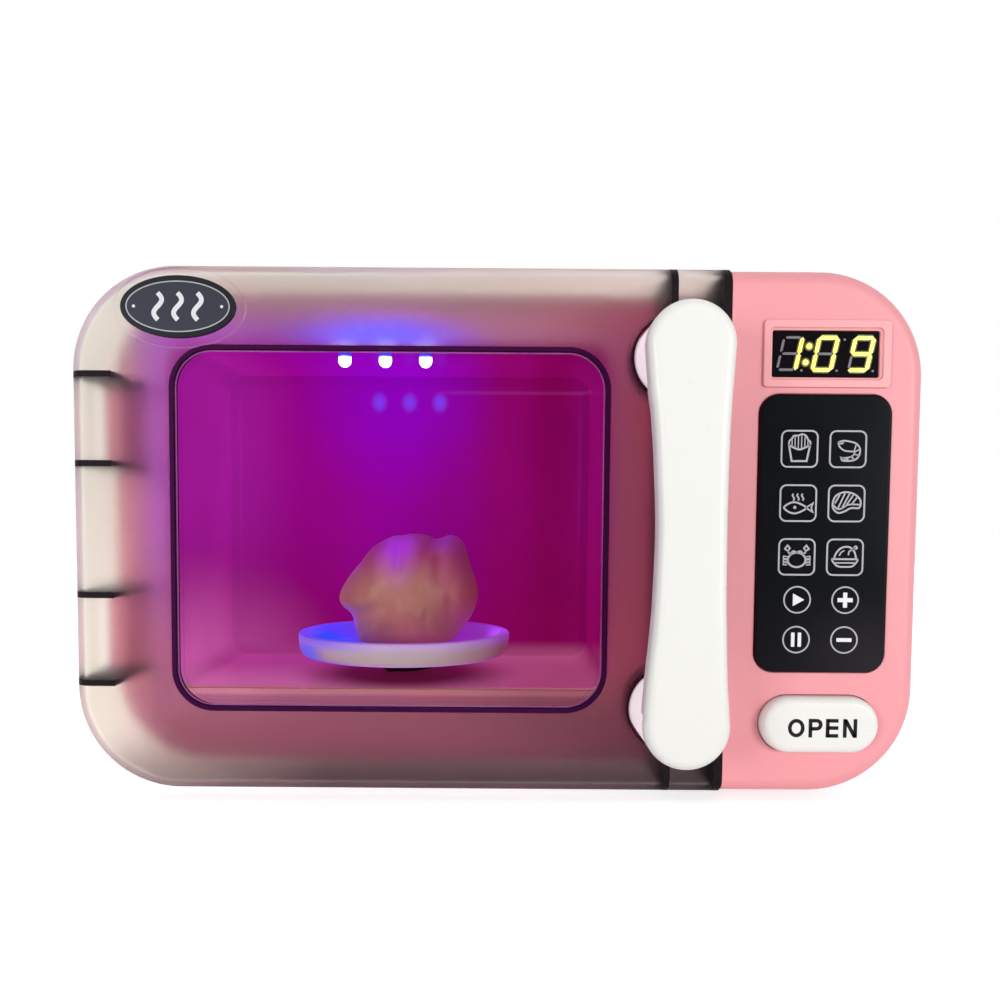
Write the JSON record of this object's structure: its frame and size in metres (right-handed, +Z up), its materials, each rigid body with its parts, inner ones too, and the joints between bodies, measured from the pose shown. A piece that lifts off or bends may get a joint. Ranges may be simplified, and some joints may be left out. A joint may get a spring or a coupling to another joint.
{
  "type": "toy microwave oven",
  "caption": "Play microwave oven with a hinged see-through door, key panel, display, push button to open it, turntable and a play roast inside.",
  "frame": {"origin": "on the table, under the middle of the toy's width and depth", "axes": "+X to the right seen from the front, +Y from the door to the back, +Z up"},
  "size_m": [0.28, 0.166, 0.177],
  "materials": {
    "pink_plastic": "satin, moulded",
    "liner_plastic": "satin, moulded, lit violet by the lamps",
    "frosted_plastic": "frosted, translucent, tinted grey",
    "window_plastic": "polished, clear, tinted",
    "white_plastic": "gloss",
    "natural_plastic": "satin",
    "overlay_black": "gloss, printed",
    "badge_grey": "satin, silver edge",
    "dark_plastic": "matte",
    "board_green": "resin board with parts",
    "lamp_clear": "clear, lit",
    "rubber_grey": "matte",
    "steel": "zinc plated",
    "brass": "cut",
    "speaker_dark": "dark cone in a metal basket",
    "cell": "printed sleeve, bare",
    "roast": "satin, moulded"
  },
  "bodies": {
    "casing": {"front_housing": "pink_plastic", "rear_cover": "pink_plastic", "cavity_liner": "liner_plastic", "lamp_board": "board_green", "lamp_1": "lamp_clear", "lamp_2": "lamp_clear", "lamp_3": "lamp_clear", "display_bezel": "pink_plastic", "display_lens": "overlay_black", "display_module": "dark_plastic", "keypad_overlay": "overlay_black", "keypad_sheet": "rubber_grey", "control_board": "board_green", "board_screw_1": "steel", "board_screw_2": "steel", "board_screw_3": "steel", "board_screw_4": "steel", "button_spring": "steel", "latch_spring": "steel", "turntable_motor": "steel", "gearbox_base": "dark_plastic", "rear_screw_1": "steel", "rear_screw_2": "steel", "rear_screw_3": "steel", "rear_screw_4": "steel", "foot_1": "rubber_grey", "foot_2": "rubber_grey", "foot_3": "rubber_grey", "foot_4": "rubber_grey", "speaker": "speaker_dark", "battery_box": "dark_plastic", "battery_1": "cell", "battery_2": "cell", "battery_3": "cell", "battery_contact_1": "steel", "battery_contact_2": "steel", "battery_cover": "pink_plastic", "battery_cover_screw": "steel", "power_switch_body": "dark_plastic"},
    "door": {"door_shell": "frosted_plastic", "window_pane": "window_plastic", "badge_plate": "badge_grey", "door_handle": "white_plastic", "latch_hook": "natural_plastic", "handle_screw_1": "steel", "handle_screw_2": "steel", "hinge_pin_1": "steel", "hinge_pin_2": "steel"},
    "open_button": {"open_button": "white_plastic"},
    "latch_catch": {"latch_catch": "natural_plastic"},
    "spindle": {"turntable_spindle": "white_plastic", "drive_gear": "natural_plastic"},
    "reduction_gear": {"reduction_gear": "natural_plastic"},
    "motor_pinion": {"motor_pinion": "brass"},
    "plate": {"turntable_plate": "white_plastic"},
    "roast": {"play_roast": "roast"},
    "switch_knob": {"power_switch_knob": "white_plastic"}
  },
  "joints": [
    {"name": "door_hinge", "type": "hinge", "parent": "casing", "child": "door", "pos_m": [-0.1358, -0.0248, 0.09], "axis": [0, 0, -1], "range_deg": [0, 100]},
    {"name": "open_button", "type": "slide", "parent": "casing", "child": "open_button", "axis": [0, 1, 0], "range_m": [0, 0.0034], "stiffness_N_per_m": 500, "springref_m": -0.002, "deforming": ["button_spring"]},
    {"name": "latch_slide", "type": "slide", "parent": "casing", "child": "latch_catch", "axis": [1, 0, 0], "range_m": [0, 0.0034], "deforming": ["latch_spring"]},
    {"name": "turntable_spin", "type": "hinge", "parent": "casing", "child": "spindle", "pos_m": [-0.037, 0.0265, 0.03], "axis": [0, 0, 1], "continuous": true},
    {"name": "reduction_spin", "type": "hinge", "parent": "casing", "child": "reduction_gear", "pos_m": [-0.013, 0.0265, 0.018], "axis": [0, 0, 1], "continuous": true},
    {"name": "pinion_spin", "type": "hinge", "parent": "casing", "child": "motor_pinion", "pos_m": [0.008, 0.0265, 0.0145], "axis": [0, 0, 1], "continuous": true},
    {"name": "plate_lift", "type": "slide", "parent": "spindle", "child": "plate", "axis": [0, 0, 1], "range_m": [0, 0.012]},
    {"name": "roast_lift", "type": "slide", "parent": "plate", "child": "roast", "axis": [0, 0, 1], "range_m": [0, 0.03]},
    {"name": "power_switch", "type": "slide", "parent": "casing", "child": "switch_knob", "axis": [1, 0, 0], "range_m": [0, 0.004]}
  ],
  "couplings": [
    {"joint": "latch_slide", "follows": "open_button", "ratio": 1},
    {"joint": "reduction_spin", "follows": "turntable_spin", "ratio": -4},
    {"joint": "pinion_spin", "follows": "turntable_spin", "ratio": 16}
  ]
}
